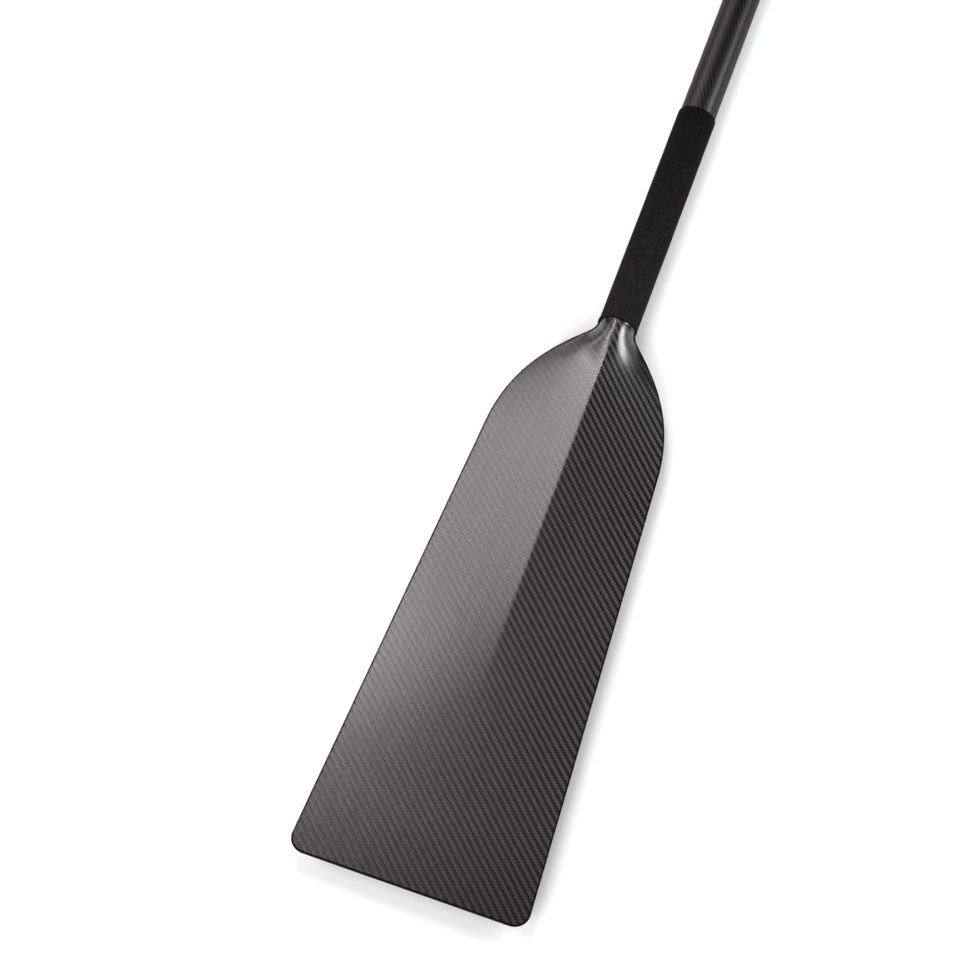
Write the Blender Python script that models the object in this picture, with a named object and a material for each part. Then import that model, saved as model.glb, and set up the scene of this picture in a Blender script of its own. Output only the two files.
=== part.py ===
"""Fixed-length carbon dragon boat paddle, modelled as its separate bonded pieces.

Frame: +X across the blade, +Y from the blade's tip to the handle, +Z up out of the
blade's front face.  The origin is under the middle of the paddle, on the surface it
lies on.  The paddle lies on its grip sleeve and on its handle bar, so its axis is level
and the blade stands clear of the surface.
"""
import math

import bmesh
import bpy
from mathutils import Vector

# ---------------------------------------------------------------- driving dimensions, mm
LENGTH = 1245.0          # blade tip to the top of the handle
TIP_WIDTH = 180.0        # width of the blade at its tip, before the corners are rounded
TAPER = 0.057            # half width lost per mm from the tip up, on the straight sides
SHOULDER_Y = 373.0       # where the straight side ends and the shoulder begins
SHOULDER_PULL = 72.0     # length of the shoulder's tangent
NECK_Y = 484.0           # where the blade is as round and as wide as the shaft
NECK_PULL = 10.5         # length of the neck's tangent
CORNER_R = 12.0          # rounded corners of the tip
EDGE_HALF = 1.5          # half the blade's thickness along its edge
FLAT_LEN = 70.0          # the tip is a flat plate this far up
RIDGE_POWER = 1.35       # how the ridge rises from the flat plate to the neck
CREASE_LOW = 110.0       # below this height the ridge is a soft crown
CREASE_HIGH = 265.0      # above this height the ridge is a crisp crease
NECK_START = 441.0       # the straight facets turn into a rounded ridge with flat wings
NECK_FULL = 469.0        # from here up the section is all rounded ridge
TUBE_START = 450.0       # the ridge and its wings turn into a tube from here to NECK_Y
TUBE_POWER = 3.2         # the turn is slow at first
FLARE_Y = 476.0          # the neck steps out a little against the sleeve's end
FLARE = 0.95
SOCKET_START = 485.0     # the shaft's own diameter starts here

SHAFT_R = 14.25          # 28.5 mm shaft
WALL = 1.5               # wall of the shaft, the tenons and the socket
SKIN = 0.9               # blade laminate
BOND = 0.3               # adhesive bond line between two pieces
SPLIT = 0.15             # each skin's share of the gap on the parting plane
SOCKET_END = 545.0       # the blade's socket tube ends here, under the sleeve

BEAD = 1.0               # edge rail, what shows beside the skins
TONGUE = 5.0             # edge rail, how far its tongue reaches in between the skins
TONGUE_HALF = 0.3
TONGUE_END = 454.0       # above this height the rail is only its bead
RAIL_END = 484.0         # the bead runs up the sides of the neck to the sleeve
BEAD_HALF = 0.8          # half its height there
CORE_INSET = 6.0
CORE_LOW = 8.0
CORE_HIGH = 462.0
SPINE_HALF = 1.5
SPINE_HIGH = 478.0

FERRULE = (489.5, 605.0)         # tenon between the blade's socket and the shaft
NECK_PLUG = (491.0, 531.0)
SLEEVE = (485.3, 690.8)          # lower-hand grip
SLEEVE_R = 15.4
TOP_PLUG = (1058.0, 1096.0)
TENON = (1098.0, 1188.0)         # tenon between the shaft and the handle
HANDLE_Y = 1150.3                # the handle's neck starts here
BAR_R = 15.4                     # the handle bar is as thick as the sleeve
BAR_Y = LENGTH - 15.4
BAR_HALF = 56.0                  # half the bar's length
SHELL = 1.5                      # handle laminate

AXIS_H = SLEEVE_R                # height of the paddle's axis when it lies down
MM = 0.001


def place(x, y, z):
    """Millimetres from the tip, on the paddle's axis, to the shared frame in metres."""
    return Vector((x * MM, (y - LENGTH / 2.0) * MM, (z + AXIS_H) * MM))


# ---------------------------------------------------------------- blade shape
def smooth(a, b, v):
    t = min(1.0, max(0.0, (v - a) / (b - a)))
    return t * t * (3.0 - 2.0 * t)


def shoulder_point(t):
    w0 = TIP_WIDTH / 2.0 - TAPER * SHOULDER_Y
    p = ((SHOULDER_Y, w0),
         (SHOULDER_Y + SHOULDER_PULL, w0 - TAPER * SHOULDER_PULL),
         (NECK_Y - NECK_PULL, SHAFT_R),
         (NECK_Y, SHAFT_R))
    k = ((1 - t) ** 3, 3 * t * (1 - t) ** 2, 3 * t * t * (1 - t), t ** 3)
    return (sum(k[i] * p[i][0] for i in range(4)), sum(k[i] * p[i][1] for i in range(4)))


def straight_width(y):
    """Half width without the tip's rounded corners."""
    if y <= SHOULDER_Y:
        return TIP_WIDTH / 2.0 - TAPER * y
    if y >= NECK_Y:
        return SHAFT_R + FLARE * (1.0 - smooth(NECK_Y, SOCKET_START, y))
    lo, hi = 0.0, 1.0
    for _ in range(48):
        mid = 0.5 * (lo + hi)
        if shoulder_point(mid)[0] < y:
            lo = mid
        else:
            hi = mid
    return shoulder_point(0.5 * (lo + hi))[1] + FLARE * smooth(FLARE_Y, NECK_Y, y)


def slope_factor(y):
    """Length of the outline per mm of height: turns a normal inset into one along X."""
    if y >= NECK_Y:
        return 1.0
    d = (straight_width(y) - straight_width(y - 0.5)) / 0.5
    return math.sqrt(1.0 + d * d)


def width_inside(y, inset):
    """Half width of the outline moved in by inset, corners included."""
    if y < CORNER_R:
        r = max(0.0, CORNER_R - inset)
        h = min(r, CORNER_R - y)
        return straight_width(CORNER_R) - CORNER_R + math.sqrt(r * r - h * h)
    return straight_width(y) - inset * slope_factor(y)


def ridge_half(y):
    t = min(1.0, max(0.0, (y - FLAT_LEN) / (NECK_Y - FLAT_LEN)))
    return EDGE_HALF + (SHAFT_R - EDGE_HALF) * t ** RIDGE_POWER


def roundness(y):
    return min(1.0, max(0.0, (y - TUBE_START) / (NECK_Y - TUBE_START))) ** TUBE_POWER


def skin_inset(y):
    return 0.0 if y > NECK_Y + 0.5 else BEAD + BOND


def skin_wall(y):
    return SKIN + (WALL - SKIN) * roundness(y)


def section(y, s):
    """Outer point (x, z) of the front face at height y and place s, -1 to 1 across."""
    a = abs(s)
    m = roundness(y)
    c = 1.0 - smooth(CREASE_LOW, CREASE_HIGH, y)
    w = width_inside(y, skin_inset(y))
    h = ridge_half(y)
    ang = 0.5 * math.pi * a
    b = smooth(NECK_START, NECK_FULL, y)
    facet = (1.0 - b) * (1.0 - a) + b * math.cos(ang) ** 2
    crown = (1.0 - c) * facet + c * (1.0 - a * a)
    x = w * ((1.0 - m) * a + m * math.sin(ang))
    z = (1.0 - m) * (EDGE_HALF + (h - EDGE_HALF) * crown) + m * h * math.cos(ang)
    return math.copysign(x, s), z


def inner_section(y, s, extra=0.0):
    """The same point on the inside of the skin, and extra mm further in."""
    x, z = section(y, s)
    m = roundness(y)
    t = skin_wall(y) + extra
    ang = 0.5 * math.pi * abs(s)
    x -= math.copysign(m * t * math.sin(ang), s)
    return x, z - t * ((1.0 - m) + m * math.cos(ang))


def inner_height(y, x, extra):
    """Height of the skin's inside above the parting plane at a given x."""
    lo, hi = 0.0, 1.0
    for _ in range(40):
        mid = 0.5 * (lo + hi)
        if inner_section(y, mid, extra)[0] < abs(x):
            lo = mid
        else:
            hi = mid
    return inner_section(y, 0.5 * (lo + hi), extra)[1]


def corner_rows(inset, steps):
    r = CORNER_R - inset
    return [CORNER_R - r * math.cos(0.5 * math.pi * i / steps) for i in range(steps + 1)]


def spread(a, b, n):
    return [a + (b - a) * i / n for i in range(1, n + 1)]


# ---------------------------------------------------------------- making objects
def clear_scene():
    for ob in list(bpy.data.objects):
        bpy.data.objects.remove(ob, do_unlink=True)


def material(name, colour, roughness, metallic=0.0):
    mat = bpy.data.materials.new(name)
    mat.use_nodes = True
    bsdf = mat.node_tree.nodes["Principled BSDF"]
    bsdf.inputs["Base Color"].default_value = (*colour, 1.0)
    bsdf.inputs["Roughness"].default_value = roughness
    bsdf.inputs["Metallic"].default_value = metallic
    mat.diffuse_color = (*colour, 1.0)
    return mat


def finish(bm, name, mat, parent, smooth_angle=32.0):
    bmesh.ops.recalc_face_normals(bm, faces=bm.faces[:])
    mesh = bpy.data.meshes.new(name)
    bm.to_mesh(mesh)
    bm.free()
    mesh.materials.append(mat)
    mesh.shade_smooth()
    mesh.set_sharp_from_angle(angle=math.radians(smooth_angle))
    ob = bpy.data.objects.new(name, mesh)
    ob.parent = parent
    bpy.context.scene.collection.objects.link(ob)
    return ob


def grid_shell(name, outer, inner, mat, parent):
    """Closed wall between two grids of points with the same rows and columns."""
    bm = bmesh.new()
    rows, cols = len(outer), len(outer[0])
    vo = [[bm.verts.new(place(*p)) for p in row] for row in outer]
    vi = [[bm.verts.new(place(*p)) for p in row] for row in inner]
    for j in range(rows - 1):
        for i in range(cols - 1):
            bm.faces.new((vo[j][i], vo[j][i + 1], vo[j + 1][i + 1], vo[j + 1][i]))
            bm.faces.new((vi[j][i], vi[j + 1][i], vi[j + 1][i + 1], vi[j][i + 1]))
    for i in range(cols - 1):
        bm.faces.new((vo[0][i + 1], vo[0][i], vi[0][i], vi[0][i + 1]))
        bm.faces.new((vo[-1][i], vo[-1][i + 1], vi[-1][i + 1], vi[-1][i]))
    for j in range(rows - 1):
        bm.faces.new((vo[j][0], vo[j + 1][0], vi[j + 1][0], vi[j][0]))
        bm.faces.new((vo[j + 1][-1], vo[j][-1], vi[j][-1], vi[j + 1][-1]))
    return finish(bm, name, mat, parent)


def turned(name, profile, segments, mat, parent):
    """Ring swept from a closed (radius, y) profile about the paddle's axis."""
    bm = bmesh.new()
    rings = []
    for k in range(segments):
        a = 2.0 * math.pi * k / segments
        rings.append([bm.verts.new(place(r * math.cos(a), y, r * math.sin(a)))
                      for r, y in profile])
    n = len(profile)
    for k in range(segments):
        p, q = rings[k], rings[(k + 1) % segments]
        for i in range(n):
            bm.faces.new((p[i], p[(i + 1) % n], q[(i + 1) % n], q[i]))
    return finish(bm, name, mat, parent)


def plug(name, r, y0, y1, chamfer, segments, mat, parent):
    """Solid foam cylinder with chamfered ends."""
    bm = bmesh.new()
    rings = []
    for rr, yy in ((r - chamfer, y0), (r, y0 + chamfer), (r, y1 - chamfer), (r - chamfer, y1)):
        rings.append([bm.verts.new(place(rr * math.cos(2 * math.pi * k / segments), yy,
                                         rr * math.sin(2 * math.pi * k / segments)))
                      for k in range(segments)])
    for a, b in zip(rings, rings[1:]):
        for k in range(segments):
            bm.faces.new((a[k], a[(k + 1) % segments], b[(k + 1) % segments], b[k]))
    bm.faces.new(rings[0])
    bm.faces.new(rings[-1])
    return finish(bm, name, mat, parent)


# ---------------------------------------------------------------- blade pieces
def blade_rows():
    rows = corner_rows(BEAD + BOND, 5)
    rows += [FLAT_LEN]
    rows += spread(FLAT_LEN, 300.0, 8)
    rows += spread(300.0, NECK_START, 7)
    rows += spread(NECK_START, 472.0, 9)
    rows += spread(472.0, NECK_Y, 6)
    rows += [SOCKET_START, SOCKET_END]
    return rows


def make_skin(name, sign, mat, parent):
    n = 10
    outer, inner = [], []
    for y in blade_rows():
        ro, ri = [], []
        for i in range(-n, n + 1):
            s = i / n
            x, z = section(y, s)
            ro.append((x, y, sign * max(z, SPLIT)))
            x, z = inner_section(y, s)
            ri.append((x, y, sign * max(z, SPLIT)))
        outer.append(ro)
        inner.append(ri)
    return grid_shell(name, outer, inner, mat, parent)


def rail_path():
    """Outline from the left shoulder round the tip to the right one: point and inward normal."""
    right = []
    r = CORNER_R
    cx = straight_width(r) - r
    for i in range(9):
        a = 0.5 * math.pi * i / 8
        right.append(((cx + r * math.sin(a), r - r * math.cos(a)), (-math.sin(a), math.cos(a))))
    for y in spread(r, SHOULDER_Y, 6) + spread(SHOULDER_Y, 438.0, 8) + spread(438.0, RAIL_END, 14):
        d = (straight_width(y + 0.25) - straight_width(y - 0.25)) / 0.5
        k = math.sqrt(1.0 + d * d)
        right.append(((straight_width(y), y), (-1.0 / k, d / k)))
    left = [((-p[0], p[1]), (-q[0], q[1])) for p, q in right]
    middle = [((cx * t, 0.0), (0.0, 1.0)) for t in (-0.5, 0.0, 0.5)]
    return left[::-1] + middle + right


def rail_shape(y):
    """Half of the rail's section: depth from the outline and height under the parting plane."""
    e = max(BEAD_HALF, EDGE_HALF * (1.0 - roundness(y)))
    tongue = TONGUE + (BEAD + 0.6 - TONGUE) * smooth(TONGUE_END - 10.0, TONGUE_END, y)
    if y > TONGUE_END - 0.01:
        tongue = BEAD + 0.02
    return [(0.0, -0.37 * e), (0.3 * BEAD, -0.77 * e), (0.85 * BEAD, -e), (BEAD, -e),
            (BEAD, -TONGUE_HALF), (tongue, -TONGUE_HALF)]


def make_rail(mat, parent):
    bm = bmesh.new()
    rings = []
    for (px, py), (nx, ny) in rail_path():
        shape = rail_shape(py)
        shape = shape + [(d, -z) for d, z in reversed(shape)]
        rings.append([bm.verts.new(place(px + nx * d, py + ny * d, z)) for d, z in shape])
    n = len(rings[0])
    for a, b in zip(rings, rings[1:]):
        for i in range(n):
            bm.faces.new((a[i], a[(i + 1) % n], b[(i + 1) % n], b[i]))
    for end in (rings[0], rings[-1]):
        half = n // 2
        for i in range(half - 1):
            bm.faces.new((end[i], end[i + 1], end[n - 2 - i], end[n - 1 - i]))
    return finish(bm, "blade_edge_rail", mat, parent, 50.0)


def make_core(name, side, mat, parent):
    """Foam half between the spine and the rail's tongue."""
    rows = ([CORE_LOW] + spread(CORE_LOW, 14.0, 2) + [FLAT_LEN] + spread(FLAT_LEN, 300.0, 6)
            + spread(300.0, NECK_START, 6) + spread(NECK_START, CORE_HIGH, 5))
    cols = 6
    top, low = [], []
    for y in rows:
        x0 = SPINE_HALF + BOND
        x1 = width_inside(y, CORE_INSET)
        t, b = [], []
        for i in range(cols + 1):
            x = x0 + (x1 - x0) * i / cols
            z = max(0.2, inner_height(y, x, BOND))
            t.append((side * x, y, z))
            b.append((side * x, y, -z))
        top.append(t)
        low.append(b)
    return grid_shell(name, top, low, mat, parent)


def make_spine(mat, parent):
    rows = ([CORE_LOW, FLAT_LEN] + spread(FLAT_LEN, 300.0, 6) + spread(300.0, NECK_START, 6)
            + spread(NECK_START, SPINE_HIGH, 9))
    top, low = [], []
    for y in rows:
        t, b = [], []
        for x in (-SPINE_HALF, 0.0, SPINE_HALF):
            z = inner_height(y, x, BOND)
            t.append((x, y, z))
            b.append((x, y, -z))
        top.append(t)
        low.append(b)
    return grid_shell("blade_spine", top, low, mat, parent)


# ---------------------------------------------------------------- handle pieces
def handle_cage():
    """Box model of the T-handle: an octagonal bar, and a twelve-sided neck that runs into it.

    Rings are drawn larger than the finished surface by what the smoothing takes off.
    """
    neck_r = SHAFT_R * 3.0 / (2.0 + math.cos(math.radians(30.0)))
    bar_r = BAR_R * 3.0 / (2.0 + math.cos(math.radians(45.0)))
    bm = bmesh.new()

    # bar: stations along X, eight points round each; the ends droop and thin a little
    x2 = neck_r * math.sin(math.radians(15.0))
    x1 = neck_r * math.cos(math.radians(38.0))
    stations = [x2, x1, 27.0, 41.0, 50.5, BAR_HALF + 0.9]
    scale = {x2: 1.0, x1: 1.0, 27.0: 1.0, 41.0: 0.975, 50.5: 0.885, BAR_HALF + 0.9: 0.60}
    droop = {x2: 0.0, x1: 0.0, 27.0: 0.4, 41.0: 1.3, 50.5: 2.3, BAR_HALF + 0.9: 3.0}
    xs = [-v for v in reversed(stations)] + stations
    rings = []
    for x in xs:
        k, dy = scale[abs(x)], droop[abs(x)]
        rings.append([bm.verts.new(Vector((x, BAR_Y - dy + bar_r * k * math.cos(a),
                                           bar_r * k * math.sin(a))))
                      for a in (math.radians(22.5 + 45.0 * j) for j in range(8))])
    # points 2..5 of each ring face the neck: (22.5 + 45 j) degrees from +Y, turning to +Z
    opening = set()
    lo, hi = xs.index(-x1), xs.index(x1)
    for i in range(len(xs) - 1):
        for j in range(8):
            if lo <= i < hi and j in (2, 3, 4):
                opening.add((i, j))
                continue
            a, b = rings[i], rings[i + 1]
            bm.faces.new((a[j], b[j], b[(j + 1) % 8], a[(j + 1) % 8]))
    for r in (rings[0], rings[-1]):
        for q in ((0, 1, 6, 7), (1, 2, 5, 6), (2, 3, 4, 5)):
            bm.faces.new([r[i] for i in q])
    # loose points inside the opening go
    for i in range(lo + 1, hi):
        for j in (3, 4):
            bm.verts.remove(rings[i][j])
    m1, m2 = xs.index(-x2), xs.index(x2)
    rim = [rings[hi][3], rings[hi][2], rings[m2][2], rings[m1][2], rings[lo][2], rings[lo][3],
           rings[lo][4], rings[lo][5], rings[m1][5], rings[m2][5], rings[hi][5], rings[hi][4]]
    previous = rim
    for y, wide in ((BAR_Y - 26.0, 1.16), (BAR_Y - 37.0, 1.03), (BAR_Y - 50.0, 1.0),
                    (BAR_Y - 64.0, 1.0), (HANDLE_Y, 1.0)):
        ring = []
        for k in range(12):
            a = math.radians(15.0 + 30.0 * k)
            ring.append(bm.verts.new(Vector((neck_r * wide * math.cos(a), y,
                                             neck_r * math.sin(a)))))
        for k in range(12):
            bm.faces.new((previous[k], previous[(k + 1) % 12], ring[(k + 1) % 12], ring[k]))
        previous = ring
    bmesh.ops.recalc_face_normals(bm, faces=bm.faces[:])
    return bm


def smoothed_handle(levels):
    """Vertices, vertex normals and triangles of the smoothed handle, in mm."""
    bm = handle_cage()
    mesh = bpy.data.meshes.new("handle_cage")
    bm.to_mesh(mesh)
    bm.free()
    cage = bpy.data.objects.new("handle_cage", mesh)
    bpy.context.scene.collection.objects.link(cage)
    sub = cage.modifiers.new("Subdivision", "SUBSURF")
    sub.levels = levels
    sub.render_levels = levels
    sub.use_limit_surface = True
    bpy.context.view_layer.update()
    evaluated = cage.evaluated_get(bpy.context.evaluated_depsgraph_get())
    fine = bpy.data.meshes.new_from_object(evaluated)
    verts = [v.co.copy() for v in fine.vertices]
    faces = [list(p.vertices) for p in fine.polygons]
    # the bar swells where the neck runs into it: bring it to its true thickness and height
    fat = BAR_R / max(abs(v.z) for v in verts)
    tall = LENGTH - max(v.y for v in verts)
    for v in verts:
        v.z *= 1.0 + (fat - 1.0) * smooth(BAR_Y - 44.0, BAR_Y - 12.0, v.y)
        v.y += tall * smooth(BAR_Y - 44.0, BAR_Y, v.y)
    bpy.data.objects.remove(cage, do_unlink=True)
    bpy.data.meshes.remove(mesh)
    bpy.data.meshes.remove(fine)
    normals = [Vector((0.0, 0.0, 0.0)) for _ in verts]
    split = []
    for f in faces:
        a, b, c, d = (verts[i] for i in f)
        n = (c - a).cross(d - b)
        for i in f:
            normals[i] += n
        # one diagonal for the outside, the inside and the core alike, so they stay parallel
        if (c - a).length <= (d - b).length:
            split += [[f[0], f[1], f[2]], [f[0], f[2], f[3]]]
        else:
            split += [[f[0], f[1], f[3]], [f[1], f[2], f[3]]]
    faces = split
    for i, v in enumerate(verts):
        n = normals[i]
        if v.y < HANDLE_Y + 0.01:
            n = Vector((v.x, 0.0, v.z))
            verts[i] = Vector((v.x, HANDLE_Y, v.z))
        elif abs(v.z) < 1e-4:
            n.z = 0.0
        normals[i] = n.normalized()
    return verts, normals, faces


def make_handle_shell(name, sign, data, mat, parent):
    verts, normals, faces = data
    keep = [f for f in faces if sign * sum(verts[i].z for i in f) > 0.0]
    used = sorted({i for f in keep for i in f})
    bm = bmesh.new()
    vo, vi = {}, {}
    for i in used:
        v, n = verts[i], normals[i]
        q = v - n * SHELL
        zo = sign * max(SPLIT, sign * v.z)
        zi = sign * max(SPLIT, sign * q.z)
        vo[i] = bm.verts.new(place(v.x, v.y, zo))
        vi[i] = bm.verts.new(place(q.x, q.y, zi))
    edges = {}
    for f in keep:
        bm.faces.new([vo[i] for i in f])
        bm.faces.new([vi[i] for i in reversed(f)])
        for a, b in zip(f, f[1:] + f[:1]):
            edges.setdefault(frozenset((a, b)), []).append((a, b))
    for pair in edges.values():
        if len(pair) == 1:
            a, b = pair[0]
            bm.faces.new((vo[b], vo[a], vi[a], vi[b]))
    return finish(bm, name, mat, parent)


def make_handle_core(data, mat, parent):
    verts, normals, faces = data
    bm = bmesh.new()
    vs = []
    for v, n in zip(verts, normals):
        q = v - n * (SHELL + BOND)
        vs.append(bm.verts.new(place(q.x, q.y, q.z)))
    for f in faces:
        bm.faces.new([vs[i] for i in f])
    cut = place(0.0, TENON[1] + 6.0, 0.0)
    res = bmesh.ops.bisect_plane(bm, geom=bm.verts[:] + bm.edges[:] + bm.faces[:], dist=1e-6,
                                 plane_co=cut, plane_no=Vector((0.0, -1.0, 0.0)),
                                 clear_outer=True)
    rim = [e for e in res["geom_cut"] if isinstance(e, bmesh.types.BMEdge)]
    bmesh.ops.edgeloop_fill(bm, edges=rim)
    return finish(bm, "handle_core", mat, parent)


# ---------------------------------------------------------------- assembly
def main():
    clear_scene()
    root = bpy.data.objects.new("paddle", None)
    bpy.context.scene.collection.objects.link(root)

    twill = material("carbon_twill", (0.055, 0.053, 0.052), 0.32)
    unidir = material("carbon_plain", (0.03, 0.03, 0.032), 0.45)
    rail = material("edge_black", (0.012, 0.012, 0.013), 0.40)
    rubber = material("grip_rubber", (0.014, 0.014, 0.014), 0.85)
    foam = material("core_foam", (0.72, 0.68, 0.56), 0.90)

    make_skin("blade_front_skin", 1.0, twill, root)
    make_skin("blade_back_skin", -1.0, twill, root)
    make_rail(rail, root)
    make_core("blade_core_left", -1.0, foam, root)
    make_core("blade_core_right", 1.0, foam, root)
    make_spine(unidir, root)

    ro = SHAFT_R - WALL - BOND
    y0, y1 = FERRULE
    turned("neck_ferrule", [(ro, y1 - 0.5), (ro - 0.5, y1), (ro - WALL, y1), (ro - WALL, y0),
                            (ro - 0.5, y0), (ro, y0 + 0.5)], 32, unidir, root)
    plug("neck_plug", ro - WALL - BOND, NECK_PLUG[0], NECK_PLUG[1], 0.8, 24, foam, root)

    y0, y1 = SOCKET_END + BOND, HANDLE_Y - BOND
    turned("shaft_tube", [(SHAFT_R, y1), (SHAFT_R - WALL, y1), (SHAFT_R - WALL, y0),
                          (SHAFT_R, y0)], 40, twill, root)

    y0, y1 = SLEEVE
    ri = SHAFT_R + BOND
    turned("grip_sleeve", [(SLEEVE_R, y1 - 0.6), (SLEEVE_R - 0.15, y1 - 0.2),
                           (SLEEVE_R - 0.45, y1), (ri, y1), (ri, y0), (SLEEVE_R - 0.45, y0),
                           (SLEEVE_R - 0.15, y0 + 0.2), (SLEEVE_R, y0 + 0.6)], 40, rubber, root)

    plug("shaft_top_plug", SHAFT_R - WALL - BOND, TOP_PLUG[0], TOP_PLUG[1], 0.8, 24, foam, root)
    y0, y1 = TENON
    turned("handle_tenon", [(ro, y1 - 0.5), (ro - 0.5, y1), (ro - WALL, y1), (ro - WALL, y0),
                            (ro - 0.5, y0), (ro, y0 + 0.5)], 32, unidir, root)

    data = smoothed_handle(1)
    make_handle_shell("handle_front_shell", 1.0, data, twill, root)
    make_handle_shell("handle_back_shell", -1.0, data, twill, root)
    make_handle_core(data, foam, root)
    bpy.context.view_layer.update()


main()
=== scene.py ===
"""Looks of a carbon dragon boat paddle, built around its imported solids.

Every surface that shows is a fine mesh made from the same formulas as the solid it
stands for.  The bonded pieces inside keep their solids and get their own materials.
Lengths in the formulas are millimetres from the blade's tip; meshes are in metres.
"""
import math

import bmesh
import bpy
from mathutils import Matrix, Vector


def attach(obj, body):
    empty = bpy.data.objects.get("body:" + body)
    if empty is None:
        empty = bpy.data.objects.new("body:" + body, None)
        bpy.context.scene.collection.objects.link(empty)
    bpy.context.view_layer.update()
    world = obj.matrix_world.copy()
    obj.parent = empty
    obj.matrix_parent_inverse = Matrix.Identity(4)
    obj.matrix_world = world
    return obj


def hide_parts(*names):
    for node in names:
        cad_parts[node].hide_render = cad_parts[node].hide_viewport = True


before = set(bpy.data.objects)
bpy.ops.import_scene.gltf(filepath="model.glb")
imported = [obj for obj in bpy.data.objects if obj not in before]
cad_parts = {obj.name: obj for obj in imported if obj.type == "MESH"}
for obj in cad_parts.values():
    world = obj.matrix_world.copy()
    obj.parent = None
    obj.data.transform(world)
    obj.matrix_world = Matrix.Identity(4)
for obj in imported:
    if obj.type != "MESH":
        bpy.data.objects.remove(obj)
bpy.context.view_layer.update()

# ---------------------------------------------------------------- dimensions, mm
LENGTH = 1245.0
TIP_WIDTH = 180.0
TAPER = 0.057
SHOULDER_Y = 373.0
SHOULDER_PULL = 72.0
NECK_Y = 484.0
NECK_PULL = 10.5
CORNER_R = 12.0
EDGE_HALF = 1.5
FLAT_LEN = 70.0
RIDGE_POWER = 1.35
CREASE_LOW = 110.0
CREASE_HIGH = 265.0
CREASE_SOFT = 0.010      # rounding of the crease, as a share of the half width
NECK_START = 441.0       # the straight facets turn into a rounded ridge with flat wings
NECK_FULL = 469.0
TUBE_START = 450.0       # the ridge and its wings turn into a tube from here to NECK_Y
TUBE_POWER = 3.2
FLARE_Y = 476.0
FLARE = 0.95
SOCKET_START = 485.0
SHAFT_R = 14.25
WALL = 1.5
SKIN = 0.9
SEAM = 0.03              # half of the line where two bonded pieces meet
SOCKET_END = 545.0
BEAD = 1.0
TONGUE = 5.0
TONGUE_HALF = 0.3
INSET = 1.30             # the skins stop this far inside the outline
TONGUE_END = 454.0
RAIL_END = 485.15        # the bead runs up the sides of the neck to the sleeve
BEAD_HALF = 0.8
SLEEVE = (485.3, 690.8)
SLEEVE_R = 15.35
HANDLE_Y = 1150.3
BAR_R = 15.4
BAR_Y = LENGTH - 15.4
BAR_HALF = 56.0
SHELL = 1.5
AXIS_H = 15.4
MM = 0.001

TOW = 1.70               # width of one crosswise tow of the cloth
TOW_ACROSS = 1.665       # width of one lengthwise tow
SKEW = 0.03              # the crosswise tows lean by this much
SHAFT_TOW = 1.105        # the finer cloth on the shaft
SHAFT_TOWS = (76, 28)    # its tows of each set met once around the shaft: it is turned 20 degrees, and
                         # their sum is a whole number of four-tow repeats
BODY = "root"


def place(x, y, z):
    return Vector((x * MM, (y - LENGTH / 2.0) * MM, (z + AXIS_H) * MM))


def smooth(a, b, v):
    t = min(1.0, max(0.0, (v - a) / (b - a)))
    return t * t * (3.0 - 2.0 * t)


def spread(a, b, n):
    return [a + (b - a) * i / n for i in range(1, n + 1)]


# ---------------------------------------------------------------- blade shape
def shoulder_point(t):
    w0 = TIP_WIDTH / 2.0 - TAPER * SHOULDER_Y
    p = ((SHOULDER_Y, w0),
         (SHOULDER_Y + SHOULDER_PULL, w0 - TAPER * SHOULDER_PULL),
         (NECK_Y - NECK_PULL, SHAFT_R),
         (NECK_Y, SHAFT_R))
    k = ((1 - t) ** 3, 3 * t * (1 - t) ** 2, 3 * t * t * (1 - t), t ** 3)
    return (sum(k[i] * p[i][0] for i in range(4)), sum(k[i] * p[i][1] for i in range(4)))


def straight_width(y):
    if y <= SHOULDER_Y:
        return TIP_WIDTH / 2.0 - TAPER * y
    if y >= NECK_Y:
        return SHAFT_R + FLARE * (1.0 - smooth(SOCKET_START + 0.2, SOCKET_START + 0.7, y))
    lo, hi = 0.0, 1.0
    for _ in range(48):
        mid = 0.5 * (lo + hi)
        if shoulder_point(mid)[0] < y:
            lo = mid
        else:
            hi = mid
    return shoulder_point(0.5 * (lo + hi))[1] + FLARE * smooth(FLARE_Y, NECK_Y, y)


def outline_slope(y):
    if y > NECK_Y - 0.3:
        return 0.0
    return (straight_width(y + 0.25) - straight_width(y - 0.25)) / 0.5


def width_inside(y, inset):
    if y < CORNER_R:
        r = max(0.0, CORNER_R - inset)
        h = min(r, CORNER_R - y)
        return straight_width(CORNER_R) - CORNER_R + math.sqrt(r * r - h * h)
    return straight_width(y) - inset * math.sqrt(1.0 + outline_slope(y) ** 2)


def ridge_half(y):
    t = min(1.0, max(0.0, (y - FLAT_LEN) / (NECK_Y - FLAT_LEN)))
    return EDGE_HALF + (SHAFT_R - EDGE_HALF) * t ** RIDGE_POWER


def skin_inset(y):
    return 0.0 if y > SOCKET_START + 0.25 else INSET


def roundness(y):
    return min(1.0, max(0.0, (y - TUBE_START) / (NECK_Y - TUBE_START))) ** TUBE_POWER


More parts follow.
